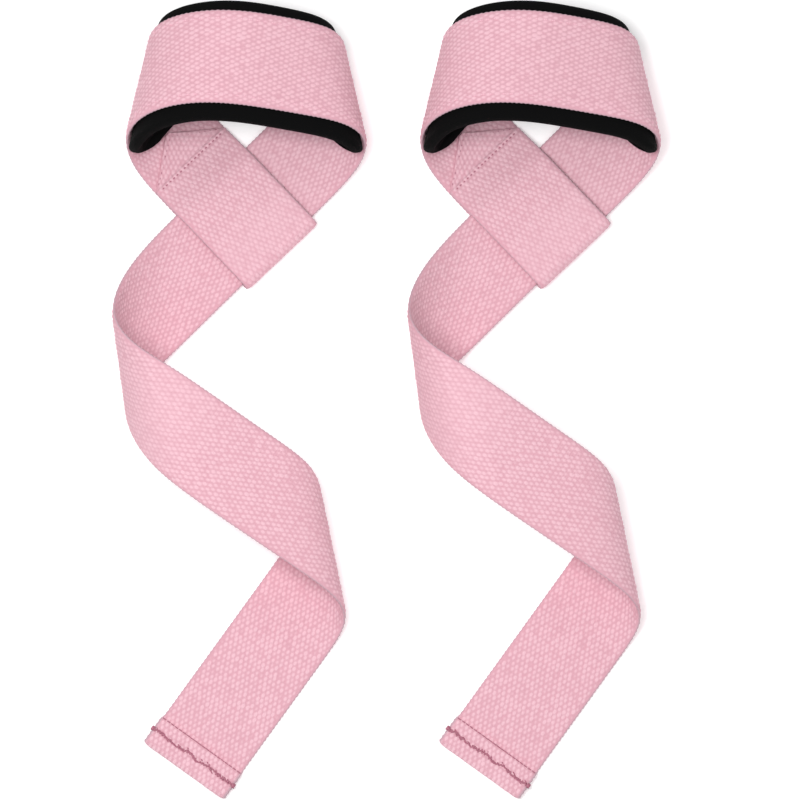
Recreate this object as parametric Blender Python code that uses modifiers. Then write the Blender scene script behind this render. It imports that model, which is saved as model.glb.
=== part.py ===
"""Pair of padded cotton lifting straps, lying loosely curled on a table.

Each strap is one flat woven tape. Its end is folded into a sewn eye, the next stretch goes round the
wrist with a foam pad sewn inside it, and the rest is a free tail that runs through the eye and curls
twice. The tape bends about straight rulings, by a short list of bends along its length, and leans a
few degrees about its own line where the soft cloth twists. World axes: +Z up from the table, +Y
towards the wrist band. Lengths are in millimetres until a point is placed in the world.
"""
from functools import lru_cache
from math import cos, pi, radians, sin

import bmesh
import bpy
import numpy as np

MM = 0.001

# Tape, pad and thread.
WEB_WIDTH = 38.0
WEB_THICK = 1.8
PAD_HALF = 25.0
LINING_THICK = 0.7
FOAM_THICK = 2.6
THREAD_RADIUS = 0.35
GAP = 0.35

# The middle of the eye's fold, the tape's heading there, and the distance between the two straps.
START = (-47.2, 57.3)
START_HEADING = 133.5
STRAP_SPACING = 115.3

# The pair's footprint is centred on this point, which becomes the origin.
ORIGIN = (-4.954, -1.349)

# Bends along the tape, with the centre and length of each in mm and its turn in degrees.
BENDS = (
    {"name": "wrist, eye side", "centre": 78.5, "length": 81.2, "turn": 73.0},
    {"name": "wrist, crown", "centre": 114.4, "length": 115.7, "turn": 108.6},
    {"name": "wrist, tail side", "centre": 199.2, "length": 72.7, "turn": 139.5},
    {"name": "first curl", "centre": 347.0, "length": 137.8, "turn": 115.6},
    {"name": "between the curls", "centre": 387.6, "length": 49.7, "turn": 26.4},
    {"name": "second curl", "centre": 475.6, "length": 85.6, "turn": 123.8},
)

# Slope of the rulings from the tape's cross direction, at stations along the tape.
RULING_SLOPES = ((0.0, 0.0), (78.5, 0.665), (114.4, 0.161), (199.2, -0.415), (294.2, -1.77),
                 (347.0, -0.56), (387.6, -1.004), (475.6, -1.026), (545.0, 0.0))
SLOPE_SMOOTHING = 30.0

# Lean of the cross direction about the tape's own line, in degrees: the soft tape twists a little.
LEANS = ((58.0, 0.0), (90.0, 4.5), (118.0, 6.0), (145.0, 14.0), (172.0, 13.0), (200.0, 4.5),
         (225.0, 0.0), (290.0, 0.0), (325.0, 1.0), (360.0, 5.0), (390.0, 5.0), (415.0, 2.0),
         (440.0, -2.0), (465.0, 0.0), (505.0, 0.0))
LEAN_SMOOTHING = 36.0
STEP = 1.0

# Stations along the tape where pieces begin and end, with a small cut between neighbours.
TAPE_LENGTH = 582.5
PAD_FROM = 66.0
PAD_TO = 220.5
TAIL_FROM = 240.0
FIRST_CURL = 347.0
SECOND_CURL = 473.0
TIP_FROM = 535.0
CUT = 0.3
ROW_SPACING = 4.0

# The pad's round ends, from a short straight edge.
PAD_END_ANGLE = 0.25
PAD_END_ROWS = 9
PAD_COLUMNS = 6
PAD_ROW_SPACING = 3.0

# The eye, along the tape. Its end is folded at the first of these and sewn down at the others.
EYE_FOLD_AT = 2.4
EYE_HEIGHT = 6.8
EYE_FLAT_TO = 42.0
EYE_CLOSED_AT = 49.0
EYE_SEAM_AT = 50.3
EYE_SHOULDER_AT = 51.5
EYE_POINT_AT = 65.2
EYE_TIP_WIDTH = 2.0

# Seams, from the edges that they run along.
PAD_SEAM_ACROSS = 15.5
PAD_END_SEAM = 6.0
POINT_SEAM_INSET = 1.8
HEM_DEPTH = 12.5
HEM_WIDTH = 39.0
HEM_SEAM_AT = 11.0
BAR_TACK_AT = 6.7
BAR_TACK_SWING = 0.8
BAR_TACK_PITCH = 3.0
SEAM_HALF_WIDTH = 16.5

COLOURS = {
    "webbing": {"colour": (0.83, 0.50, 0.58, 1.0), "roughness": 0.9},
    "foam": {"colour": (0.02, 0.02, 0.02, 1.0), "roughness": 0.8},
    "lining": {"colour": (0.015, 0.015, 0.016, 1.0), "roughness": 0.65},
    "thread": {"colour": (0.72, 0.38, 0.46, 1.0), "roughness": 0.6},
}


def clear_scene():
    for obj in list(bpy.data.objects):
        bpy.data.objects.remove(obj)


def make_material(name, kind):
    look = COLOURS[kind]
    material = bpy.data.materials.new(name)
    material.use_nodes = True
    shader = material.node_tree.nodes["Principled BSDF"]
    shader.inputs["Base Color"].default_value = look["colour"]
    shader.inputs["Roughness"].default_value = look["roughness"]
    shader.inputs["Metallic"].default_value = 0.0
    return material


def bend_rates(stations):
    """Turn per mm along the tape. Each bend eases in and out as a raised cosine."""
    rates = np.zeros_like(stations)
    for bend in BENDS:
        share = (stations - bend["centre"]) / (0.5 * bend["length"])
        hump = radians(bend["turn"]) * (1 + np.cos(pi * share)) / bend["length"]
        rates += np.where(np.abs(share) < 1, hump, 0.0)
    return rates


def smoothed(stations, table, reach):
    """A table of (station, value) read at every station, with its corners rounded off."""
    at, value = zip(*table)
    raw = np.interp(stations, at, value)
    window = np.hanning(int(reach / STEP) | 1)
    half = len(window) // 2
    return np.convolve(np.pad(raw, half, mode="edge"), window / window.sum(), "valid")


def turned(vectors, axis, angle):
    """Rows of vectors, turned about a unit axis."""
    along = np.outer(vectors @ axis, axis)
    return vectors * cos(angle) + np.cross(axis, vectors) * sin(angle) + along * (1 - cos(angle))


@lru_cache(maxsize=1)
def tape_frames():
    """Centre points, frames (along, across, outward) and ruling slopes, one row per step."""
    stations = np.arange(0.0, TAPE_LENGTH + 20 * STEP, STEP)
    rates = bend_rates(stations)
    slopes = smoothed(stations, RULING_SLOPES, SLOPE_SMOOTHING)
    heading = radians(START_HEADING)
    along = np.array((cos(heading), sin(heading), 0.0))
    outward = np.array((0.0, 0.0, -1.0))
    frame = np.array((along, np.cross(outward, along), outward))
    point = np.array((*START, 0.5 * WEB_THICK))
    points = [point]
    frames = [frame]
    for i in range(len(stations) - 1):
        axis = frame[1] + 0.5 * (slopes[i] + slopes[i + 1]) * frame[0]
        size = np.linalg.norm(axis)
        angle = 0.5 * (rates[i] + rates[i + 1]) * size * STEP
        point = point + turned(frame, axis / size, 0.5 * angle)[0] * STEP
        frame = turned(frame, axis / size, angle)
        points.append(point)
        frames.append(frame)
    return np.array(points), leaned(np.array(frames), stations), slopes


def leaned(frames, stations):
    """The frames, turned about their along directions by the tape's lean."""
    lean = np.radians(smoothed(stations, LEANS, LEAN_SMOOTHING))[:, None]
    along, across, outward = np.moveaxis(frames, 1, 0)
    tilted = np.cos(lean) * across + np.sin(lean) * outward
    return np.stack((along, tilted, np.cos(lean) * outward - np.sin(lean) * across), 1)


def on_tape(station, across, outward):
    """The point on the ruling through a station of the tape's centre line."""
    points, frames, slopes = tape_frames()
    row = int(min(max(station / STEP, 0), len(points) - 2))
    part = station / STEP - row
    point = points[row] * (1 - part) + points[row + 1] * part
    frame = frames[row] * (1 - part) + frames[row + 1] * part
    slope = slopes[row] * (1 - part) + slopes[row + 1] * part
    return point + across * (frame[1] + slope * frame[0]) + outward * frame[2]


def square_on_tape(station, across, outward):
    """The point at a distance along and across the tape, as on the tape laid flat."""
    slopes = tape_frames()[2]
    steps = STEP * np.arange(len(slopes))
    ruling = station
    for _ in range(12):
        ruling = station - across * np.interp(ruling, steps, slopes)
    return on_tape(ruling, across, outward)


def place(point, side):
    """Millimetres on strap 0 to metres in the world, on strap 0 or strap 1."""
    shift = np.array((side * STRAP_SPACING - ORIGIN[0], -ORIGIN[1], 0.0))
    return (np.asarray(point) + shift) * MM


def add_object(name, data, kind, collection):
    data.materials.append(make_material(name, kind))
    obj = bpy.data.objects.new(name, data)
    collection.objects.link(obj)
    return obj


def stations_between(first, last, spacing=ROW_SPACING):
    return np.linspace(first, last, max(2, int(round((last - first) / spacing)) + 1))


def bent_sheet(name, side, rows, columns, surface, thickness, kind, collection):
    """A flat grid bent to surface(row, share of half the width), and thickened about its middle."""
    grid = bmesh.new()
    bmesh.ops.create_grid(grid, x_segments=len(rows) - 1, y_segments=columns, size=0.5)
    for vertex in grid.verts:
        row = rows[int(round((vertex.co.x + 0.5) * (len(rows) - 1)))]
        vertex.co = place(surface(row, 2 * vertex.co.y), side)
    mesh = bpy.data.meshes.new(name)
    grid.to_mesh(mesh)
    grid.free()
    obj = add_object(name, mesh, kind, collection)
    solidify = obj.modifiers.new("thickness", "SOLIDIFY")
    solidify.thickness = thickness * MM
    solidify.offset = 0.0
    return obj


def tape_piece(name, side, first, last, collection):
    def surface(station, share):
        return on_tape(station, share * 0.5 * WEB_WIDTH, 0.0)

    rows = stations_between(first, last)
    return bent_sheet(name, side, rows, 1, surface, WEB_THICK, "webbing", collection)


def pad_half_width(station):
    """The pad's ends are half circles."""
    inside = min(station - PAD_FROM, PAD_TO - station, PAD_HALF)
    return (PAD_HALF ** 2 - (PAD_HALF - inside) ** 2) ** 0.5


def pad_layer(name, side, depth, thickness, kind, collection):
    """One layer of the pad, its middle at a depth inside the tape's middle."""
    def surface(station, share):
        return square_on_tape(station, share * pad_half_width(station), -depth)

    ends = PAD_HALF * (1 - np.cos(np.linspace(PAD_END_ANGLE, pi / 2, PAD_END_ROWS)))
    middle = stations_between(PAD_FROM + PAD_HALF, PAD_TO - PAD_HALF, PAD_ROW_SPACING)[1:-1]
    rows = [*(PAD_FROM + ends), *middle, *(PAD_TO - ends[::-1])]
    return bent_sheet(name, side, rows, PAD_COLUMNS, surface, thickness, kind, collection)


def thread(name, side, points, collection):
    curve = bpy.data.curves.new(name, "CURVE")
    curve.dimensions = "3D"
    curve.bevel_depth = THREAD_RADIUS * MM
    curve.bevel_resolution = 0
    curve.use_fill_caps = True
    spline = curve.splines.new("POLY")
    spline.points.add(len(points) - 1)
    for target, point in zip(spline.points, points):
        target.co = (*place(point, side), 1.0)
    return add_object(name, curve, "thread", collection)


def thread_depth(layers):
    """Depth of a thread that lies on the inner side of that many stacked layers of tape."""
    return (layers - 0.5) * WEB_THICK + layers * GAP + THREAD_RADIUS


def wrist_webbing(strap, side, collection):
    tape_piece(f"{strap}_wrist_webbing", side, EYE_FOLD_AT + CUT, TAIL_FROM - CUT, collection)


def return_depth(station):
    """How far the eye's front layer stands off the back layer: open over the tail, then closed."""
    closed = WEB_THICK + GAP
    share = min(max((station - EYE_FLAT_TO) / (EYE_CLOSED_AT - EYE_FLAT_TO), 0.0), 1.0)
    ease = share * share * (3 - 2 * share)
    return EYE_HEIGHT + (closed - EYE_HEIGHT) * ease


def return_half_width(station):
    """Full width up to the shoulder, then narrowing to the pointed end."""
    share = min(max((station - EYE_SHOULDER_AT) / (EYE_POINT_AT - EYE_SHOULDER_AT), 0.0), 1.0)
    return 0.5 * (WEB_WIDTH + (EYE_TIP_WIDTH - WEB_WIDTH) * share)


def eye_return(strap, side, collection):
    """The tape's end: round the fold, over the tail, and down to its sewn pointed end."""
    fold = [("fold", angle) for angle in np.linspace(-90, 90, 7)]
    top = [("top", station) for station in stations_between(EYE_FOLD_AT + 3, EYE_FLAT_TO, 9.0)]
    ramp = [("top", station) for station in stations_between(EYE_FLAT_TO, EYE_CLOSED_AT, 1.6)[1:]]
    end = [("top", station) for station in stations_between(EYE_SHOULDER_AT, EYE_POINT_AT, 3.5)]

    def surface(row, share):
        stretch, value = row
        if stretch == "top":
            across = share * return_half_width(value)
            return square_on_tape(value, across, -return_depth(value))
        radius = 0.5 * EYE_HEIGHT
        along = EYE_FOLD_AT - radius * cos(radians(value))
        depth = radius + radius * sin(radians(value))
        return on_tape(along, share * 0.5 * WEB_WIDTH, -depth)

    rows = fold + top + ramp + end
    bent_sheet(f"{strap}_eye_return", side, rows, 4, surface, WEB_THICK, "webbing", collection)


def eye_seams(strap, side, collection):
    depth = thread_depth(2)
    across = np.linspace(-SEAM_HALF_WIDTH, SEAM_HALF_WIDTH, 9)
    closing = [square_on_tape(EYE_SEAM_AT, value, -depth) for value in across]
    thread(f"{strap}_eye_closing_seam", side, closing, collection)
    first = EYE_SHOULDER_AT + POINT_SEAM_INSET
    last = EYE_POINT_AT - POINT_SEAM_INSET
    reach = return_half_width(first) - POINT_SEAM_INSET
    point = []
    for share in np.linspace(-1, 1, 9):
        station = last + (first - last) * abs(share)
        point.append(square_on_tape(station, share * reach, -depth))
    thread(f"{strap}_eye_point_seam", side, point, collection)


def pad(strap, side, collection):
    outer = 0.5 * WEB_THICK + GAP + 0.5 * LINING_THICK
    core = outer + 0.5 * LINING_THICK + GAP + 0.5 * FOAM_THICK
    inner = core + 0.5 * FOAM_THICK + GAP + 0.5 * LINING_THICK
    pad_layer(f"{strap}_pad_backing", side, outer, LINING_THICK, "lining", collection)
    pad_layer(f"{strap}_pad_foam", side, core, FOAM_THICK, "foam", collection)
    pad_layer(f"{strap}_pad_lining", side, inner, LINING_THICK, "lining", collection)


def pad_seams(strap, side, collection):
    """Threads on the tape's outer face: one row along each edge and one across each pad end."""
    height = 0.5 * WEB_THICK + GAP + THREAD_RADIUS
    inset = PAD_END_SEAM + 2
    rows = stations_between(PAD_FROM + inset, PAD_TO - inset)
    for name, across in (("upper", PAD_SEAM_ACROSS), ("lower", -PAD_SEAM_ACROSS)):
        points = [square_on_tape(station, across, height) for station in rows]
        thread(f"{strap}_pad_{name}_seam", side, points, collection)
    reach = np.linspace(-PAD_SEAM_ACROSS, PAD_SEAM_ACROSS, 5)
    for name, station in (("eye", PAD_FROM + PAD_END_SEAM), ("tail", PAD_TO - PAD_END_SEAM)):
        points = [square_on_tape(station, across, height) for across in reach]
        thread(f"{strap}_pad_{name}_end_seam", side, points, collection)


def tail(strap, side, collection):
    cuts = (("tail_webbing_upper", TAIL_FROM, FIRST_CURL),
            ("tail_webbing_middle", FIRST_CURL, SECOND_CURL),
            ("tail_webbing_lower", SECOND_CURL, TIP_FROM),
            ("tail_webbing_tip", TIP_FROM, TAPE_LENGTH))
    for name, first, last in cuts:
        tape_piece(f"{strap}_{name}", side, first + CUT, last - CUT, collection)


def hem(strap, side, collection):
    """The tape's end folded back on its inner side and sewn down."""
    depth = WEB_THICK + GAP

    def surface(station, share):
        return on_tape(station, share * 0.5 * HEM_WIDTH, -depth)

    rows = stations_between(TAPE_LENGTH - HEM_DEPTH, TAPE_LENGTH)
    bent_sheet(f"{strap}_hem_flap", side, rows, 1, surface, WEB_THICK, "webbing", collection)
    seam = []
    for across in (-SEAM_HALF_WIDTH, SEAM_HALF_WIDTH):
        seam.append(on_tape(TAPE_LENGTH - HEM_SEAM_AT, across, -thread_depth(2)))
    thread(f"{strap}_hem_seam", side, seam, collection)
    swings = int(2 * SEAM_HALF_WIDTH / BAR_TACK_PITCH) * 2
    tack = []
    for i in range(swings + 1):
        across = SEAM_HALF_WIDTH * (2 * i / swings - 1)
        station = TAPE_LENGTH - BAR_TACK_AT + BAR_TACK_SWING * (-1) ** i
        tack.append(on_tape(station, across, -thread_depth(2)))
    thread(f"{strap}_hem_bar_tack", side, tack, collection)


def build():
    clear_scene()
    collection = bpy.data.collections.new("padded_lifting_straps")
    bpy.context.scene.collection.children.link(collection)
    for side, strap in enumerate(("left", "right")):
        wrist_webbing(strap, side, collection)
        eye_return(strap, side, collection)
        eye_seams(strap, side, collection)
        pad(strap, side, collection)
        pad_seams(strap, side, collection)
        tail(strap, side, collection)
        hem(strap, side, collection)


build()
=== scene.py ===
"""Looks of the pair of padded cotton lifting straps: woven tape, sewn eye, foam pad and hem.

The tape's shape repeats the CAD part's: it bends about straight rulings, and at the curls it also
leans a few degrees about its own length. A strip coordinate (along, across, outward), in
millimetres, is mapped to the curled tape. Each piece is a grid of such coordinates, with its yarns
as real bumps.
"""

from collections import namedtuple
from functools import lru_cache
from math import cos, pi, radians, sin

import bpy
import numpy as np
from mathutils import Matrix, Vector


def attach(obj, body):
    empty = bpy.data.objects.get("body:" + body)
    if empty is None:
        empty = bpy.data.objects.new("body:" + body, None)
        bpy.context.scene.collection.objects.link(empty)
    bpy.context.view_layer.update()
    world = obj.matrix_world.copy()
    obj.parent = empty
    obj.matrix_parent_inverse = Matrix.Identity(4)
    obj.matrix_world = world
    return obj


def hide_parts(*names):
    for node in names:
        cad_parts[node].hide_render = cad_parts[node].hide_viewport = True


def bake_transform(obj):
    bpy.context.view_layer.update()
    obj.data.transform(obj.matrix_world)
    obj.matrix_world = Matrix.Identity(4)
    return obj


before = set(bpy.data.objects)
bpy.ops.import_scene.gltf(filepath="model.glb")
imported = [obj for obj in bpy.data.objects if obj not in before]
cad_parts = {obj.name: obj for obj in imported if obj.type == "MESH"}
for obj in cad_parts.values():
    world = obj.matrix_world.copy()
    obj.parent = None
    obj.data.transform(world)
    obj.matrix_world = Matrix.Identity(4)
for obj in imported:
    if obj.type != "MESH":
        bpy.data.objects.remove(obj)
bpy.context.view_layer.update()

MM = 0.001
RNG = np.random.default_rng(7)

# How each crown of the weave strays: along, across and in size. It is drawn before all else.
CROWN_TABLE = (1024, 128)
UNEVEN = RNG.normal(0, 1, (3, *CROWN_TABLE))

# Tape, pad and thread, in millimetres.
WEB_HALF = 19.0
WEB_THICK = 1.8
WEB_TOP = 0.5 * WEB_THICK
PAD_HALF = 25.0
GAP = 0.35

# Where the tape starts, which way it heads, and where the two straps lie. The start, the heading,
# the bends and the slopes below are rounded results of fitting the tape to edges
# measured in the photo. The leans began as such results and were evened out.
START = (-47.2, 57.3)
START_HEADING = 133.5
STRAP_SPACING = 115.3
ORIGIN = (-4.954, -1.349)

# Bends along the tape: centre, length and turn in degrees. Then two tables by the distance along
# it: how far a ruling slopes along for each mm across, and how many degrees the tape leans.
BENDS = ((78.5, 81.2, 73.0), (114.4, 115.7, 108.6), (199.2, 72.7, 139.5),
         (347.0, 137.8, 115.6), (387.6, 49.7, 26.4), (475.6, 85.6, 123.8))
RULING_SLOPES = ((0.0, 0.0), (78.5, 0.665), (114.4, 0.161), (199.2, -0.415), (294.2, -1.77),
                 (347.0, -0.56), (387.6, -1.004), (475.6, -1.026), (545.0, 0.0))
SLOPE_SMOOTHING = 30.0
LEANS = ((0.0, 0.0), (58.0, 0.0), (90.0, 4.5), (118.0, 6.0), (145.0, 14.0), (172.0, 13.0),
         (200.0, 4.5), (225.0, 0.0), (290.0, 0.0), (325.0, 1.0), (360.0, 5.0), (390.0, 5.0),
         (415.0, 2.0), (440.0, -2.0), (465.0, 0.0), (505.0, 0.0))
LEAN_SMOOTHING = 36.0
TAPE_LENGTH = 582.5
RULING_PASSES = 14

# The weave: columns of yarn crowns along the tape, and warp yarns across it.
CROWN_PITCH = 1.95
YARN_PITCH = 0.975
CROWN_HEIGHT = 0.45
CROWN_LONG = 1.05
CROWN_WIDE = 0.7
CROWN_STRAY_LONG = 0.13
CROWN_STRAY_WIDE = 0.09
CROWN_STRAY_SIZE = 0.16

# The crown value that lies level with the tape's faces, and the one that smooth spots tend to.
CROWN_LEVEL = 0.4
CROWN_MEAN = 0.62

# Where the tape is pulled flat or pressed: a centre along it, a reach, and how much it smooths.
SMOOTH_SPOTS = ((-16.0, 11.0), (2.0, 9.0), (383.0, 24.0), (250.0, 10.0))
SPOT_SMOOTHING = 0.4

# Rows of points along the tape. A second ring close to each end keeps the cuts from showing.
ROW_STEP = CROWN_PITCH / 4
END_RING = 0.02

# The edges: how wide they round off, how wide the thin selvage is, and how far the weft bulges.
EDGE_ROUND = 0.8
SELVAGE = 2.2
SCALLOP = 0.13
FAR_FROM_EDGE = 9

# The eye: where it folds, and by the distance along the tape where it closes.
EYE_FOLD_AT = 2.4
EYE_HEIGHT = 6.8
EYE_RAMP_FROM = 33.0
EYE_RAMP_TO = 52.0
EYE_SEAM_AT = 50.4
EYE_SHOULDER_AT = 51.2
EYE_POINT_AT = 65.2
EYE_RADIUS = EYE_HEIGHT / 2
EYE_ARC = pi * EYE_RADIUS
EYE_POINT_DROP = 0.45
EYE_POINT_SLANT = 0.7071

# The hem.
HEM_RADIUS = (WEB_THICK + GAP) / 2
HEM_FOLD_AT = TAPE_LENGTH - HEM_RADIUS - WEB_THICK / 2
HEM_ARC = pi * HEM_RADIUS
HEM_FLAP = HEM_FOLD_AT - (TAPE_LENGTH - 12.5)
HEM_TACK_AT = TAPE_LENGTH - 6.7
HEM_END = HEM_FOLD_AT + HEM_ARC + HEM_FLAP
HEM_SEAM_IN = 0.25
HEM_RELIEF = 0.6

# The pad.
PAD_FROM = 66.0
PAD_TO = 220.5
PAD_DEPTH = 3.6
PAD_HALF_THICK = 2.3
PAD_SEAM_ACROSS = 15.5
PAD_SIDE_SEAM_FROM = 8.0
PAD_END_SEAM_AT = 6.0
PAD_EDGE_ROUND = 2.4
PAD_NARROWING = 0.975
PAD_LOWERED = 0.7
PAD_ROW_STEP = 1.1
PAD_END_ROWS = 34
PAD_FIRST_ANGLE = 0.22

# Grooves under seams: depth and width.
EYE_GROOVE = (0.5, 0.5)
TACK_GROOVE = (0.6, 0.9)
HEM_GROOVE = (0.6, 0.6)
PAD_GROOVE = (0.5, 1.2)

# Seams: the pitch, how much of it a stitch fills, its height, its bow and the thread's radius.
Stitching = namedtuple("Stitching", "pitch fill height lift radius")
PAD_STITCHING = Stitching(3.0, 0.8, WEB_TOP - 0.02, 0.16, 0.24)
EYE_STITCHING = Stitching(1.9, 0.85, WEB_TOP - 0.4, 0.12, 0.2)
POINT_STITCHING = Stitching(2.2, 0.45, 0.65 * WEB_TOP - 0.1, 0.1, 0.17)
HEM_STITCHING = Stitching(1.9, 1.1, WEB_TOP - 0.3, 0.06, 0.2)
TACK_HEIGHT = WEB_TOP - 0.45
TACK_RADIUS = 0.27
TACK_STITCHES = 64
THREAD_SIDES = 8
THREAD_TAPER = 0.35

# Where the tape's pieces meet.
LEFT_CUT = 42 * CROWN_PITCH
RIGHT_CUT = 105 * CROWN_PITCH
UNDER_EYE_CUT = 141 * CROWN_PITCH
DIAGONAL_CUT = 210 * CROWN_PITCH
LOWER_CUT = 264 * CROWN_PITCH

# Two distances along the end of the tape; the script computes their points and does not use them.
TIP_BEND_FROM = 519
TIP_BEND_TO = 551

# Colours: pairs that a coarse noise, or a thread's ply, runs between.
WEB_LIGHT = ((0.80, 0.48, 0.55, 1), (0.83, 0.515, 0.585, 1))
# The deeper pair is painted shade: where the crown value is low, in the pits between the yarns and
# on the lowered crowns near the edges, the pink is coloured darker.
WEB_PIT_SHADE = ((0.65, 0.325, 0.395, 1), (0.70, 0.37, 0.44, 1))
WEB_FUZZ = (0.86, 0.62, 0.67, 1)
# Painted shade along the tape's edges, where its surface rounds away from the light.
WEB_EDGE_SHADE = (0.50, 0.35, 0.40, 1)
PAD_BLACKS = ((0.0018, 0.0018, 0.0019, 1), (0.0038, 0.0038, 0.004, 1))
PINK_THREAD = ((0.72, 0.38, 0.46, 1), (0.90, 0.58, 0.66, 1))
# The deep pink is partly the thread's own colour and partly painted shade: it is made darker so
# that the seams also show the shade of their needle holes and grooves, and the shade under the hem
# flap's edge.
DEEP_PINK_THREAD_AND_SEAM_SHADE = ((0.33, 0.105, 0.155, 1), (0.50, 0.19, 0.26, 1))

# The stage, in metres and degrees.
FLOOR_REACH = 4.0
FLOOR_HEIGHT = -0.0004
CAMERA_DISTANCE = 6.0
CAMERA_ELEVATION = 83.6
CAMERA_SENSOR = 36.0
CAMERA_WIDTH = 0.3137


# ---------------------------------------------------------------- the tape's shape

@lru_cache(maxsize=1)
def tape_frames():
    """Centre points, frames (along, across, outward) and ruling slopes, one row per mm."""
    stations = np.arange(0.0, TAPE_LENGTH + 20, 1.0)
    rates = np.zeros_like(stations)
    for centre, length, turn in BENDS:
        share = (stations - centre) / (0.5 * length)
        hump = radians(turn) * (1 + np.cos(pi * share)) / length
        rates += np.where(np.abs(share) < 1, hump, 0.0)
    slopes = smoothed(stations, RULING_SLOPES, SLOPE_SMOOTHING)
    heading = radians(START_HEADING)
    along = np.array((cos(heading), sin(heading), 0.0))
    outward = np.array((0.0, 0.0, -1.0))
    turned = np.array((along, np.cross(outward, along), outward))
    point = np.array((*START, 0.5 * WEB_THICK))
    points = [point]
    frames = [turned]
    for i in range(len(stations) - 1):
        axis = turned[1] + 0.5 * (slopes[i] + slopes[i + 1]) * turned[0]
        size = np.linalg.norm(axis)
        angle = 0.5 * (rates[i] + rates[i + 1]) * size
        point = point + spin(turned, axis / size, 0.5 * angle)[0]
        turned = spin(turned, axis / size, angle)
        points.append(point)
        frames.append(turned)
    lean = np.radians(smoothed(stations, LEANS, LEAN_SMOOTHING))[:, None]
    along, across, outward = np.moveaxis(np.array(frames), 1, 0)
    tilted = np.cos(lean) * across + np.sin(lean) * outward
    outward = np.cos(lean) * outward - np.sin(lean) * across
    return np.array(points), np.stack((along, tilted, outward), 1), slopes


def smoothed(stations, table, reach):
    """A table of (distance, value) read at the stations and smoothed over about its reach."""
    at, value = zip(*table)
    window = np.hanning(int(reach) | 1)
    raw = np.pad(np.interp(stations, at, value), len(window) // 2, mode="edge")
    return np.convolve(raw, window / window.sum(), "valid")


def spin(vectors, axis, angle):
    """Vectors turned about a unit axis."""
    along = np.outer(vectors @ axis, axis)
    return vectors * cos(angle) + np.cross(axis, vectors) * sin(angle) + along * (1 - cos(angle))


def on_tape(along, across, outward):
    """World points in mm for arrays of distances along, across and out of the tape laid flat."""
    points, frames, slopes = tape_frames()
    steps = np.arange(len(slopes))
    along, across, outward = np.broadcast_arrays(along, across, outward)
    ruling = along.astype(float)
    for _ in range(RULING_PASSES):
        ruling = along - across * np.interp(ruling, steps, slopes)
    row = np.clip(ruling.astype(int), 0, len(slopes) - 2)
    part = (ruling - row)[..., None]
    point = points[row] * (1 - part) + points[row + 1] * part
    turned = frames[row] * (1 - part[..., None]) + frames[row + 1] * part[..., None]
    slope = (slopes[row] * (1 - part[..., 0]) + slopes[row + 1] * part[..., 0])[..., None]
    ridge = turned[..., 1, :] + slope * turned[..., 0, :]
    return point + across[..., None] * ridge + outward[..., None] * turned[..., 2, :]


def folded(distance, across, outward, centre_at, radius, way):
    """Points on a fold at the tape's end: way -1 at its start and +1 at its hem."""
    frames = tape_frames()[1]
    along = frames[int(centre_at), 0]
    angle = distance / radius
    reach = way * (radius + outward) * np.sin(angle)
    rise = -radius + (radius + outward) * np.cos(angle)
    return on_tape(np.full(across.shape, centre_at), across, rise) + reach[..., None] * along


def smooth(value, low, high):
    """0 below low, 1 above high and a soft step between."""
    share = np.clip((value - low) / (high - low), 0, 1)
    return share * share * (3 - 2 * share)


def eye_depth(distance):
    """How far the eye's front layer stands off the back: over the tail, then closed, then lower
    still at its point."""
    closed = WEB_THICK + GAP
    ramp = smooth(distance, EYE_RAMP_FROM, EYE_RAMP_TO)
    depth = EYE_HEIGHT + (closed - EYE_HEIGHT) * ramp
    drop = smooth(distance, EYE_SHOULDER_AT - 0.3, EYE_SHOULDER_AT + 0.5)
    return depth - EYE_POINT_DROP * drop


def returned(along):
    """The distance along the tape that lies under a point of the eye's front layer."""
    return 2 * EYE_FOLD_AT - EYE_ARC - along


def strip(along, across, outward):
    """World points in mm of the whole tape: its eye folds at the start and its hem at the end."""
    given = np.broadcast_arrays(along, across, outward)
    along, across, outward = [np.array(values, float) for values in given]
    out = on_tape(np.clip(along, EYE_FOLD_AT, HEM_FOLD_AT), across, outward)
    bend = (along < EYE_FOLD_AT) & (along >= EYE_FOLD_AT - EYE_ARC)
    if bend.any():
        distance = EYE_FOLD_AT - along[bend]
        out[bend] = folded(distance, across[bend], outward[bend], EYE_FOLD_AT, EYE_RADIUS, -1)
    back = along < EYE_FOLD_AT - EYE_ARC
    if back.any():
        distance = returned(along[back])
        depth = -eye_depth(distance) - outward[back]
        out[back] = on_tape(distance, across[back], depth)
    bend = (along > HEM_FOLD_AT) & (along <= HEM_FOLD_AT + HEM_ARC)
    if bend.any():
        distance = along[bend] - HEM_FOLD_AT
        out[bend] = folded(distance, across[bend], outward[bend], HEM_FOLD_AT, HEM_RADIUS, 1)
    back = along > HEM_FOLD_AT + HEM_ARC
    if back.any():
        distance = 2 * HEM_FOLD_AT + HEM_ARC - along[back]
        out[back] = on_tape(distance, across[back], -2 * HEM_RADIUS - outward[back])
    return out


def place(points, side):
    """World points in metres from a strap's points in mm. Side is 0 for the left and 1 for the
    right strap."""
    shift = np.array((side * STRAP_SPACING - ORIGIN[0], -ORIGIN[1], 0.0))
    return (points + shift) * MM


# ---------------------------------------------------------------- meshes

def mesh_object(name, points, quads, flat_faces, coordinates, material):
    mesh = bpy.data.meshes.new(name)
    mesh.from_pydata(points.tolist(), [], quads)
    smooth_faces = np.ones(len(mesh.polygons), bool)
    smooth_faces[list(flat_faces)] = False
    mesh.polygons.foreach_set("use_smooth", smooth_faces)
    attribute = mesh.attributes.new("strip", "FLOAT_VECTOR", "POINT")
    attribute.data.foreach_set("vector", coordinates.astype(np.float32).ravel())
    mesh.materials.append(material)
    obj = bpy.data.objects.new(name, mesh)
    bpy.context.scene.collection.objects.link(obj)
    return obj


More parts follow.
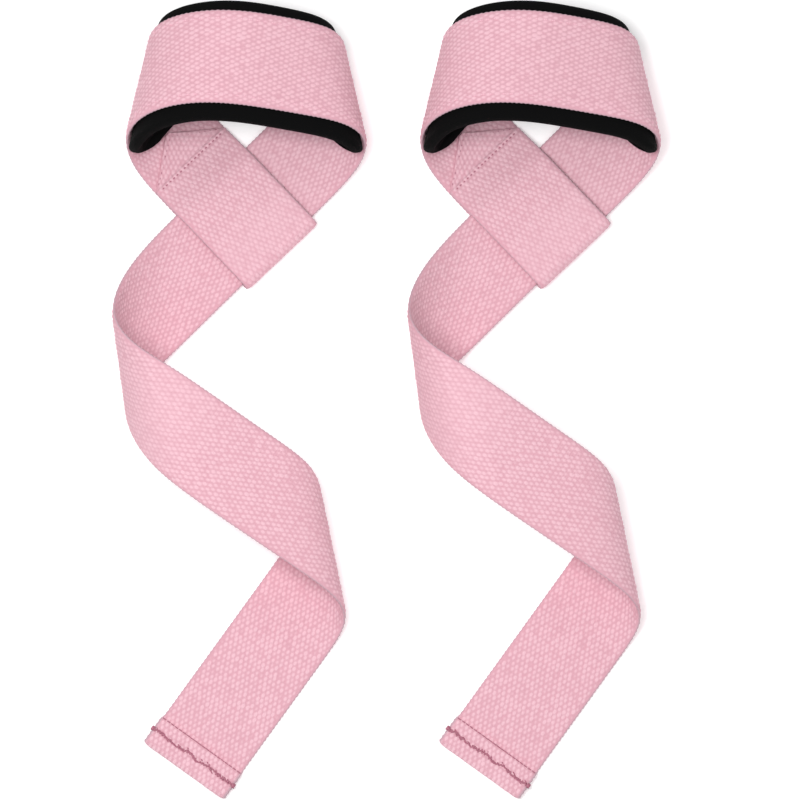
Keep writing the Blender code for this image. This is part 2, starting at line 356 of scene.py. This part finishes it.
def ring_faces(rows, ring):
    """Quads of a tube of rings, with its end caps as strips of quads between opposite points."""
    i, j = np.meshgrid(np.arange(rows - 1), np.arange(ring), indexing="ij")
    k = (j + 1) % ring
    tube = np.stack((i * ring + j, i * ring + k, (i + 1) * ring + k, (i + 1) * ring + j), -1)
    faces = []
    half = ring // 2
    for start, flip in ((0, True), ((rows - 1) * ring, False)):
        for j in range(half - 1):
            quad = [start + j, start + j + 1, start + ring - 2 - j, start + ring - 1 - j]
            faces.append(quad[::-1] if flip else quad)
    return faces + tube.reshape(-1, 4).tolist(), range(len(faces))


def tape_profile():
    """Across, outward and face (+1 outer, -1 inner) of a ring of points round the tape."""
    count = int(round((WEB_HALF - EDGE_ROUND) / (YARN_PITCH / 2)))
    flat = np.arange(-count, count + 1) * YARN_PITCH / 2
    turn = np.radians((30.0, 60.0))
    reach = WEB_HALF - flat[-1]
    edge = flat[-1] + reach * np.sin(turn)
    rise = 0.5 * WEB_THICK * np.cos(turn)
    upper = np.concatenate((-edge[::-1], flat, edge))
    height = np.concatenate((rise[::-1], np.full(len(flat), 0.5 * WEB_THICK), rise))
    ring_across = np.concatenate((upper, upper[::-1]))
    ring_out = np.concatenate((height, -height[::-1]))
    face = np.sign(ring_out)
    return ring_across, ring_out, face


def crowns(along, across, face):
    """The woven relief from 0 to 1: each warp yarn rises in rounded crowns, out of step with its
    neighbours, and the crowns of the inner face stand where the outer face has its pits."""
    long = 2 * CROWN_PITCH
    wide = 2 * YARN_PITCH
    start = np.where(face > 0, 0.0, CROWN_PITCH)
    best = np.zeros(along.shape)
    for shift in (0.0, 0.5):
        i = np.round((along - start) / long - shift)
        j = np.round(across / wide - shift)
        row = (i.astype(int) + 300 + int(shift * 1000)) % CROWN_TABLE[0]
        column = (j.astype(int) + 40) % CROWN_TABLE[1]
        from_a = along - start - (i + shift) * long + CROWN_STRAY_LONG * UNEVEN[0][row, column]
        from_c = across - (j + shift) * wide + CROWN_STRAY_WIDE * UNEVEN[1][row, column]
        size = 1 + CROWN_STRAY_SIZE * UNEVEN[2][row, column]
        bump = np.exp(-(from_a / CROWN_LONG) ** 2 - (from_c / CROWN_WIDE) ** 2)
        best = np.maximum(best, size * bump)
    return best


def firmness(along):
    """How strongly the crowns show: less where the tape is pulled flat or pressed."""
    spots = sum(np.exp(-((along - centre) / reach) ** 2) for centre, reach in SMOOTH_SPOTS)
    return 1 - SPOT_SMOOTHING * spots


def groove(distance, depth, width):
    return -depth * np.exp(-(distance / width) ** 2)


def half_width(along):
    """Half the tape's width, which narrows over the eye's point and widens over the hem."""
    eye = np.clip((returned(along) - EYE_SHOULDER_AT) / (EYE_POINT_AT - EYE_SHOULDER_AT), 0, 1)
    hem = smooth(along, TAPE_LENGTH - 16, TAPE_LENGTH - 8)
    return WEB_HALF * (1 - 0.95 * eye) + 0.5 * hem


def tape_rows(first, last):
    """Distances along the tape of the rings of one piece."""
    count = max(2, int(round((last - first) / ROW_STEP)))
    rows = np.linspace(first, last, count + 1)
    near_first = rows[:1] + END_RING
    near_last = rows[-1:] - END_RING
    return np.concatenate((rows[:1], near_first, rows[1:-1], near_last, rows[-1:]))


def weave_at(along, across, over, pointed):
    """Where points lie in the weave, which is taken aslant on the eye's folded point."""
    slant_along = (over + across) * EYE_POINT_SLANT
    slant_across = (over - across) * EYE_POINT_SLANT
    return np.where(pointed, slant_along, along), np.where(pointed, slant_across, across)


def wear(along, across):
    """A slow unevenness of the weave's relief, about 1."""
    waves = np.sin(0.37 * along + 1.3 * np.sin(0.21 * across))
    return 1 + 0.2 * waves * np.sin(0.53 * across + 0.11 * along)


def seam_grooves(over, sewn):
    """How far the outer face is drawn in by the eye's seam, the bar tack and the hem's seam."""
    sunk = groove(over - EYE_SEAM_AT, *EYE_GROOVE)
    sunk = sunk + groove(sewn - HEM_FOLD_AT + HEM_TACK_AT, *TACK_GROOVE) * (sewn > 0)
    return sunk + groove(sewn - HEM_FLAP + HEM_SEAM_IN, *HEM_GROOVE) * (sewn > 0)


def add_values(mesh, name, values):
    attribute = mesh.attributes.new(name, "FLOAT", "POINT")
    attribute.data.foreach_set("value", values.ravel().astype(np.float32))


def web_piece(name, side, first, last, material):
    """One length of woven tape, from first to last along the strip."""
    rows = tape_rows(first, last)
    ring_across, ring_out, face = tape_profile()
    along = rows[:, None] + 0 * ring_across[None, :]
    across = ring_across[None, :] / WEB_HALF * half_width(along)
    over = returned(along)
    sewn = along - HEM_FOLD_AT - HEM_ARC
    pointed = over > EYE_SHOULDER_AT
    from_edge = WEB_HALF - np.abs(ring_across)[None, :]
    outer = np.broadcast_to(face[None, :], along.shape)

    weave_along, weave_across = weave_at(along, across, over, pointed)
    crown = crowns(weave_along, weave_across, outer)
    crown = crown * (0.35 + 0.65 * smooth(from_edge, 0.2, SELVAGE))
    crown = CROWN_MEAN + (crown - CROWN_MEAN) * firmness(along)
    height = CROWN_HEIGHT * (crown * wear(along, across) - CROWN_LEVEL)
    height = height * np.where(sewn > -HEM_ARC, HEM_RELIEF, 1.0)

    slim = 1 - 0.35 * smooth(over, EYE_SHOULDER_AT, EYE_SHOULDER_AT + 1.2)
    slim = slim * (0.6 + 0.4 * smooth(from_edge, 0.0, SELVAGE))
    sunk = (face > 0)[None, :] * seam_grooves(over, sewn)
    outward = ring_out[None, :] * slim + face[None, :] * height + sunk
    scallop = SCALLOP * np.cos(2 * pi * along / CROWN_PITCH) * smooth(-from_edge, -0.9, -0.1)
    across = across + np.sign(ring_across)[None, :] * np.where(pointed, 0, scallop)

    points = place(strip(along, across, outward).reshape(-1, 3), side)
    faces, flat = ring_faces(len(rows), len(ring_across))
    coordinates = np.stack((weave_along, weave_across, outer), -1)
    obj = mesh_object(name, points, faces, flat, coordinates.reshape(-1, 3), material)
    add_values(obj.data, "edge", np.where(pointed, FAR_FROM_EDGE, WEB_HALF - np.abs(across)))
    add_values(obj.data, "crown", crown)
    return obj


# ---------------------------------------------------------------- pad

def pad_profile():
    """A flat oval ring: across as a share of half the width, and depth as a share of half the
    thickness."""
    flat = np.linspace(-0.92, 0.92, 47)
    turn = np.radians(np.linspace(15, 75, 5))
    edge = 0.92 + 0.08 * np.sin(turn)
    rise = np.cos(turn) ** 0.8
    upper = np.concatenate((-edge[::-1], flat, edge))
    height = np.concatenate((rise[::-1], np.ones(len(flat)), rise))
    return np.concatenate((upper, upper[::-1])), np.concatenate((height, -height[::-1]))


def pad_rows(first, last):
    """Rows along the pad, close together at its round ends, between two cuts."""
    turn = np.linspace(PAD_FIRST_ANGLE, 0.5 * pi, PAD_END_ROWS)
    ends = PAD_HALF * (1 - np.cos(turn))
    middle = np.arange(PAD_FROM + PAD_HALF + 1, PAD_TO - PAD_HALF - 0.5, PAD_ROW_STEP)
    rows = np.concatenate((PAD_FROM + ends, middle, PAD_TO - ends[::-1]))
    inside = rows[(rows > first + 0.3) & (rows < last - 0.3)]
    if first > PAD_FROM:
        inside = np.concatenate(((first,), inside))
    if last < PAD_TO:
        inside = np.concatenate((inside, (last,)))
    return inside


def pad_piece(name, side, first, last, material):
    """One length of the pad, from first to last, with sewn channels on its inner face."""
    rows = pad_rows(first, last)
    share, height = pad_profile()
    distance = np.minimum(rows - PAD_FROM, PAD_TO - rows)
    half = np.sqrt(PAD_HALF ** 2 - (PAD_HALF - np.minimum(distance, PAD_HALF)) ** 2)[:, None]
    closing = np.sqrt(1 - np.clip(1 - distance / PAD_EDGE_ROUND, 0, 0.98) ** 2)[:, None]
    along = rows[:, None] + 0 * share[None, :]
    across = share[None, :] * half * PAD_NARROWING - PAD_LOWERED
    channel = groove(np.abs(across) - PAD_SEAM_ACROSS, *PAD_GROOVE) * (distance[:, None] > 5.5)
    ends = groove(distance[:, None] - PAD_END_SEAM_AT, *PAD_GROOVE)
    ends = ends * (np.abs(across) < PAD_SEAM_ACROSS)
    swell = 0.15 * np.sin(0.31 * along + 0.9 * np.sin(0.13 * across)) * np.cos(0.17 * across)
    inner = (height < 0)[None, :]
    thick = PAD_HALF_THICK * height[None, :] * (0.35 + 0.65 * closing)
    thick = thick - inner * (np.minimum(channel, ends) + swell) * np.abs(height)[None, :]
    outward = -PAD_DEPTH + thick
    points = place(on_tape(along, across, outward).reshape(-1, 3), side)
    faces, flat = ring_faces(len(rows), len(share))
    coordinates = np.stack((along, across, np.broadcast_to(height, along.shape)), -1)
    return mesh_object(name, points, faces, flat, coordinates.reshape(-1, 3), material)


# ---------------------------------------------------------------- threads

def tubes(name, side, paths, radius, material):
    """Short threads, each along one path of world points in mm, with rounded ends."""
    points = []
    faces = []
    coordinates = []
    for path in paths:
        path = np.asarray(path, float)
        run = np.gradient(path, axis=0)
        run /= np.linalg.norm(run, axis=1)[:, None]
        never_along = np.array((0.31, 0.17, 0.93))
        first = np.cross(run, never_along)
        first /= np.linalg.norm(first, axis=1)[:, None]
        second = np.cross(run, first)
        taper = np.ones(len(path))
        taper[0] = taper[-1] = THREAD_TAPER
        start = len(points)
        for i in range(len(path)):
            for k in range(THREAD_SIDES):
                angle = 2 * pi * k / THREAD_SIDES
                offset = radius * taper[i] * (cos(angle) * first[i] + sin(angle) * second[i])
                points.append(path[i] + offset)
                coordinates.append((i / len(path), k / THREAD_SIDES, 0.0))
        for i in range(len(path) - 1):
            for k in range(THREAD_SIDES):
                a = start + i * THREAD_SIDES + k
                b = start + i * THREAD_SIDES + (k + 1) % THREAD_SIDES
                faces.append((a, a + THREAD_SIDES, b + THREAD_SIDES, b))
        faces.append(tuple(range(start, start + THREAD_SIDES)))
        end = start + (len(path) - 1) * THREAD_SIDES
        faces.append(tuple(range(end + THREAD_SIDES - 1, end - 1, -1)))
    placed = place(np.array(points), side)
    return mesh_object(name, placed, faces, [], np.array(coordinates), material)


def stitch(start, end, height, lift):
    """A stitch between two strip coordinates (along, across), bowed outward in its middle."""
    share = np.linspace(0, 1, 7)
    along = start[0] + (end[0] - start[0]) * share
    across = start[1] + (end[1] - start[1]) * share
    outward = height + lift * np.sin(pi * share) - 0.5 * (1 - np.sin(pi * share))
    return strip(along, across, outward)


def stitch_row(corners, kind):
    """Stitches one after another along a line of strip coordinates."""
    paths = []
    for start, end in zip(corners[:-1], corners[1:]):
        start = np.array(start, float)
        end = np.array(end, float)
        count = max(1, int(round(np.linalg.norm(end - start) / kind.pitch)))
        for i in range(count):
            low = start + (end - start) * (i + 0.5 - 0.5 * kind.fill) / count
            high = start + (end - start) * (i + 0.5 + 0.5 * kind.fill) / count
            paths.append(stitch(low, high, kind.height, kind.lift))
    return paths


def seams(strap, side, thread, dark):
    """Each seam as its object, what it rides and the CAD node that it replaces."""
    made = []

    def sew(name, corners, kind, material, rides, node):
        paths = stitch_row(corners, kind)
        obj = tubes(f"{strap}_{name}", side, paths, kind.radius, material)
        made.append((obj, rides, f"{strap}_{node}"))

    cuts = (("eye", PAD_FROM + PAD_SIDE_SEAM_FROM, LEFT_CUT, "loop"),
            ("front", LEFT_CUT, RIGHT_CUT, "front"),
            ("tail", RIGHT_CUT, PAD_TO - PAD_SIDE_SEAM_FROM, "tail"))
    for name, across in (("upper", PAD_SEAM_ACROSS), ("lower", -PAD_SEAM_ACROSS)):
        for part, first, last, rides in cuts:
            corners = [(first + 0.3, across), (last - 0.3, across)]
            sew(f"pad_{name}_stitches_{part}", corners, PAD_STITCHING, thread, rides,
                f"pad_{name}_seam")
    for name, at, rides in (("eye", PAD_FROM + PAD_END_SEAM_AT, "loop"),
                            ("tail", PAD_TO - PAD_END_SEAM_AT, "tail")):
        corners = [(at, -PAD_SEAM_ACROSS), (at, PAD_SEAM_ACROSS)]
        sew(f"pad_{name}_end_stitches", corners, PAD_STITCHING, thread, rides,
            f"pad_{name}_end_seam")
    at = returned(EYE_SEAM_AT)
    sew("eye_stitches", [(at, -16.5), (at, 16.5)], EYE_STITCHING, dark, "loop",
        "eye_closing_seam")
    first = returned(EYE_SHOULDER_AT + 1.2)
    last = returned(EYE_POINT_AT - 1.6)
    corners = [(first, -16.6), (last, 0.0), (first, 16.6)]
    sew("eye_point_stitches", corners, POINT_STITCHING, dark, "loop", "eye_point_seam")
    at = HEM_END - HEM_SEAM_IN
    # The hem's stitches run together into one dark line along the flap's edge: partly thread,
    # partly painted shade of that edge.
    sew("hem_stitches", [(at, -18.6), (at, 18.6)], HEM_STITCHING, dark, "tip", "hem_seam")
    made.append((bar_tack(strap, side, dark), "tip", f"{strap}_hem_bar_tack"))
    return made


def bar_tack(strap, side, dark):
    """A dense uneven zigzag across the hem, with a knot at each edge."""
    at = HEM_FOLD_AT + HEM_ARC + HEM_FOLD_AT - HEM_TACK_AT
    paths = []
    places = np.linspace(-WEB_HALF + 0.2, WEB_HALF - 0.2, TACK_STITCHES + 1)
    wander = 0.5 * np.sin(0.55 * places + 0.7 * np.sin(0.31 * places + side))
    swing = wander + RNG.normal(0, 0.2, TACK_STITCHES + 1)
    reach = 0.3 + 0.5 * np.abs(np.sin(0.21 * places + 1.1))
    swing += (-1.0) ** np.arange(TACK_STITCHES + 1) * reach
    for i in range(TACK_STITCHES):
        slack = 0.5 * RNG.normal()
        start = (at + swing[i], places[i] - 0.25)
        end = (at + swing[i + 1], places[i + 1] + 0.25)
        paths.append(stitch(start, end, TACK_HEIGHT, 0.3))
        if i % 2:
            start = (start[0] + slack, start[1])
            end = (end[0] + slack, end[1] + 0.6)
            paths.append(stitch(start, end, TACK_HEIGHT, 0.3))
    for edge in (-1, 1):
        angle = np.linspace(0, 5.2 * pi, 40)
        along = at + 0.75 * np.cos(angle)
        across = edge * (WEB_HALF + 0.35) + 0.5 * np.sin(1.7 * angle)
        paths.append(strip(along, across, TACK_HEIGHT - 0.5 + 0.75 * np.sin(angle)))
    return tubes(f"{strap}_hem_bar_tack_stitches", side, paths, TACK_RADIUS, dark)


# ---------------------------------------------------------------- materials

class Nodes:
    """A short way to build a node tree."""

    def __init__(self, name):
        self.material = bpy.data.materials.new(name)
        self.material.use_nodes = True
        self.tree = self.material.node_tree
        self.shader = self.tree.nodes["Principled BSDF"]

    def add(self, kind, **settings):
        node = self.tree.nodes.new(kind)
        for key, value in settings.items():
            setattr(node, key, value)
        return node

    def link(self, source, target):
        self.tree.links.new(source, target)

    def put(self, socket, value):
        if hasattr(value, "links"):
            self.link(value, socket)
        else:
            socket.default_value = value

    def math(self, operation, *values):
        node = self.add("ShaderNodeMath", operation=operation)
        for socket, value in zip(node.inputs, values):
            self.put(socket, value)
        return node.outputs[0]

    def mix(self, factor, first, second):
        node = self.add("ShaderNodeMix", data_type="RGBA")
        self.put(node.inputs[0], factor)
        self.put(node.inputs[6], first)
        self.put(node.inputs[7], second)
        return node.outputs[2]

    def ranged(self, value, low, high, to_low, to_high):
        node = self.add("ShaderNodeMapRange")
        for socket, given in zip(node.inputs, (value, low, high, to_low, to_high)):
            self.put(socket, given)
        return node.outputs[0]

    def attribute(self, name):
        return self.add("ShaderNodeAttribute", attribute_name=name)

    def strip_place(self):
        """The strip coordinate of each point, whole and as its along and across parts."""
        whole = self.attribute("strip").outputs["Vector"]
        parts = self.add("ShaderNodeSeparateXYZ")
        self.link(whole, parts.inputs[0])
        return whole, parts.outputs[0], parts.outputs[1]

    def noise(self, vector, scale):
        node = self.add("ShaderNodeTexNoise")
        self.put(node.inputs["Vector"], vector)
        node.inputs["Scale"].default_value = scale
        node.inputs["Detail"].default_value = 3.0
        return node.outputs["Fac"]

    def bump(self, height, strength, distance):
        node = self.add("ShaderNodeBump")
        node.inputs["Strength"].default_value = strength
        node.inputs["Distance"].default_value = distance
        self.put(node.inputs["Height"], height)
        self.link(node.outputs["Normal"], self.shader.inputs["Normal"])


def webbing_material(name):
    n = Nodes(name)
    whole, along, across = n.strip_place()
    crown = n.ranged(n.attribute("crown").outputs["Fac"], 0.3, 0.72, 0.0, 1.0)
    coarse = n.noise(whole, 0.09)
    fibres = n.noise(whole, 2.6)
    # Painted shade in the weave's pits: low crown values take the darker pair, high ones the
    # cloth's own pink.
    cloth_and_pit_shade = n.mix(crown, n.mix(coarse, *WEB_PIT_SHADE), n.mix(coarse, *WEB_LIGHT))
    cloth_and_pit_shade = n.mix(n.ranged(fibres, 0.3, 0.7, 0.0, 0.2), cloth_and_pit_shade, WEB_FUZZ)
    # Painted shade: the colour darkens within about 0.75 mm of each edge of the tape, where it
    # rounds away from the light.
    edge = n.ranged(n.attribute("edge").outputs["Fac"], 0.1, 0.75, 0.75, 0.0)
    n.link(n.mix(edge, cloth_and_pit_shade, WEB_EDGE_SHADE), n.shader.inputs["Base Color"])
    n.link(n.ranged(crown, 0.0, 1.0, 0.98, 0.82), n.shader.inputs["Roughness"])
    n.shader.inputs["Sheen Weight"].default_value = 0.06
    n.shader.inputs["Sheen Roughness"].default_value = 0.5
    n.shader.inputs["Specular IOR Level"].default_value = 0.25
    slant = n.math("ADD", n.math("MULTIPLY", along, 6.5), n.math("MULTIPLY", across, 9.0))
    twist = n.math("SINE", slant)
    fine = n.math("ADD", n.math("MULTIPLY", twist, 0.25), fibres)
    n.bump(n.math("ADD", fine, n.math("MULTIPLY", crown, 0.9)), 0.5, 0.00025)
    return n.material


def pad_material(name):
    n = Nodes(name)
    whole, along, across = n.strip_place()
    rib = n.math("SINE", n.math("MULTIPLY", along, 2 * pi / 0.9))
    wale = n.math("SINE", n.math("MULTIPLY", across, 2 * pi / 0.7))
    knit = n.math("MULTIPLY", rib, wale)
    fuzz = n.noise(whole, 3.0)
    n.link(n.mix(n.ranged(fuzz, 0.3, 0.7, 0, 1), *PAD_BLACKS), n.shader.inputs["Base Color"])
    n.link(n.ranged(knit, -1, 1, 0.98, 0.88), n.shader.inputs["Roughness"])
    n.shader.inputs["Specular IOR Level"].default_value = 0.08
    n.bump(n.math("ADD", knit, fuzz), 0.35, 0.0002)
    return n.material


def thread_material(name, colours):
    n = Nodes(name)
    _, along, around = n.strip_place()
    turns = n.math("MULTIPLY", around, 2 * pi)
    slant = n.math("ADD", n.math("MULTIPLY", along, 30.0), turns)
    ply = n.ranged(n.math("SINE", slant), -1, 1, 0, 1)
    n.link(n.mix(ply, *colours), n.shader.inputs["Base Color"])
    n.link(n.ranged(ply, 0, 1, 0.85, 0.6), n.shader.inputs["Roughness"])
    n.bump(ply, 0.4, 0.0001)
    return n.material


def floor_material():
    n = Nodes("pale_floor")
    n.shader.inputs["Base Color"].default_value = (0.93, 0.93, 0.93, 1)
    n.shader.inputs["Emission Color"].default_value = (1, 1, 1, 1)
    n.shader.inputs["Emission Strength"].default_value = 0.25
    n.shader.inputs["Roughness"].default_value = 0.9
    n.shader.inputs["Specular IOR Level"].default_value = 0.1
    return n.material


# ---------------------------------------------------------------- putting it together

def strip_point(along, side):
    """A point of the tape's middle line, in metres."""
    return Vector(place(on_tape(np.array(along), np.array(0.0), np.array(0.0)), side))


def build_strap(strap, side, looks):
    """One strap's tape, pad and seams: each piece is attached to a body or baked in place, and the
    CAD nodes that it replaces are hidden.
    """
    web = looks["webbing"]
    eye_end = returned(EYE_POINT_AT)
    reach = blend_reach(side)

    eye = web_piece(f"{strap}_eye_and_wrist_tape", side, eye_end, LEFT_CUT, web)
    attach(eye, f"{strap}_loop")
    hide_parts(f"{strap}_eye_return")

    front = web_piece(f"{strap}_front_tape", side, LEFT_CUT, RIGHT_CUT, web)
    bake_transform(front)
    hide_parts(f"{strap}_wrist_webbing")

    under = web_piece(f"{strap}_threaded_tape", side, RIGHT_CUT, UNDER_EYE_CUT, web)
    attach(under, f"{strap}_tail")
    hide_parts(f"{strap}_tail_webbing_upper")

    curl = web_piece(f"{strap}_first_curl_tape", side, UNDER_EYE_CUT, DIAGONAL_CUT, web)
    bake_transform(curl)
    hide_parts(f"{strap}_tail_webbing_middle")

    lower = web_piece(f"{strap}_second_curl_tape", side, DIAGONAL_CUT, LOWER_CUT, web)
    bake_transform(lower)
    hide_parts(f"{strap}_tail_webbing_lower")

    tip = web_piece(f"{strap}_end_tape", side, LOWER_CUT, HEM_END, web)
    strip_point(TIP_BEND_FROM, side)
    strip_point(TIP_BEND_TO, side)
    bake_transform(tip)
    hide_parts(f"{strap}_tail_webbing_tip", f"{strap}_hem_flap")

    pads = (("eye_side", PAD_FROM, LEFT_CUT, "loop", "pad_backing"),
            ("front", LEFT_CUT, RIGHT_CUT, "front", "pad_foam"),
            ("tail_side", RIGHT_CUT, PAD_TO, "tail", "pad_lining"))
    for part, first, last, rides, node in pads:
        pad = pad_piece(f"{strap}_pad_{part}", side, first, last, looks["pad"])
        ride_piece(pad, strap, rides)
        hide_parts(f"{strap}_{node}")

    for obj, rides, node in seams(strap, side, looks["thread"], looks["dark_thread_and_seam_shade"]):
        ride_piece(obj, strap, rides)
        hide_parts(node)


def cut_box(along, half, side):
    """Lowest and highest corners, in metres, of a cut across the tape and the pad inside it."""
    across = np.linspace(-half, half, 15)[:, None]
    outward = np.array((1.2, -6.0 if half > WEB_HALF else -1.2))[None, :]
    points = place(on_tape(along, across, outward).reshape(-1, 3), side)
    return points.min(0), points.max(0)


def blend_reach(side):
    """Coordinates, in metres, of the cuts at each end of the front, the first curl and the second
    curl.
    """
    left = cut_box(LEFT_CUT, PAD_HALF, side)[1][0]
    right = cut_box(RIGHT_CUT, PAD_HALF, side)[0][0]
    eye = cut_box(UNDER_EYE_CUT, WEB_HALF, side)[1][2]
    high = cut_box(DIAGONAL_CUT, WEB_HALF, side)[0][2]
    low = cut_box(LOWER_CUT, WEB_HALF, side)[1][2]
    return {"front": ((left, 0, 0), (right, 0, 0)),
            "curl": ((0, 0, eye), (0, 0, high)),
            "lower": ((0, 0, high), (0, 0, low))}


def ride_piece(obj, strap, rides):
    """Lets a piece of the pad or a seam ride on one body; a piece at the front is baked in place
    instead.
    """
    if rides == "front":
        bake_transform(obj)
    else:
        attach(obj, f"{strap}_{rides}")


def build_floor():
    mesh = bpy.data.meshes.new("floor")
    signs = ((-1, -1), (1, -1), (1, 1), (-1, 1))
    corners = [(x * FLOOR_REACH, y * FLOOR_REACH, FLOOR_HEIGHT) for x, y in signs]
    mesh.from_pydata(corners, [], [(0, 1, 2, 3)])
    mesh.materials.append(floor_material())
    floor = bpy.data.objects.new("floor", mesh)
    bpy.context.scene.collection.objects.link(floor)


def add_light(name, location, size, power):
    """A round area light that looks at the origin."""
    data = bpy.data.lights.new(name, "AREA")
    data.shape = "DISK"
    data.size = size
    data.energy = power
    light = bpy.data.objects.new(name, data)
    light.location = location
    aim = Vector((0, 0, 0)) - Vector(location)
    light.rotation_euler = aim.to_track_quat("-Z", "Y").to_euler()
    bpy.context.scene.collection.objects.link(light)


def build_lights():
    world = bpy.data.worlds.new("studio")
    bpy.context.scene.world = world
    world.use_nodes = True
    background = world.node_tree.nodes["Background"]
    background.inputs["Color"].default_value = (1, 1, 1, 1)
    background.inputs["Strength"].default_value = 0.52
    add_light("key", (-0.22, 0.0, 1.15), 0.45, 8.4)
    add_light("fill", (0.35, -0.4, 1.8), 1.0, 4.5)
    bpy.context.scene.view_settings.view_transform = "Standard"


def build_camera():
    """A long lens, nearly straight down, that shows CAMERA_WIDTH metres at the floor."""
    tilt = radians(CAMERA_ELEVATION)
    data = bpy.data.cameras.new("camera")
    data.sensor_width = CAMERA_SENSOR
    data.lens = CAMERA_DISTANCE * CAMERA_SENSOR / CAMERA_WIDTH
    data.clip_end = 50.0
    camera = bpy.data.objects.new("camera", data)
    target = Vector((-ORIGIN[0] * MM, -ORIGIN[1] * MM, 0.0))
    back = Vector((0.0, -cos(tilt), sin(tilt)))
    camera.location = target + CAMERA_DISTANCE * back
    camera.rotation_euler = (-back).to_track_quat("-Z", "Y").to_euler()
    bpy.context.scene.collection.objects.link(camera)
    bpy.context.scene.camera = camera


def main():
    looks = {
        "webbing": webbing_material("pink_cotton_webbing"),
        "pad": pad_material("black_knit_pad"),
        "thread": thread_material("pink_thread", PINK_THREAD),
        "dark_thread_and_seam_shade": thread_material("deep_pink_thread_and_seam_shade", DEEP_PINK_THREAD_AND_SEAM_SHADE),
    }
    for side, strap in enumerate(("left", "right")):
        build_strap(strap, side, looks)
    build_floor()
    build_lights()
    build_camera()


main()
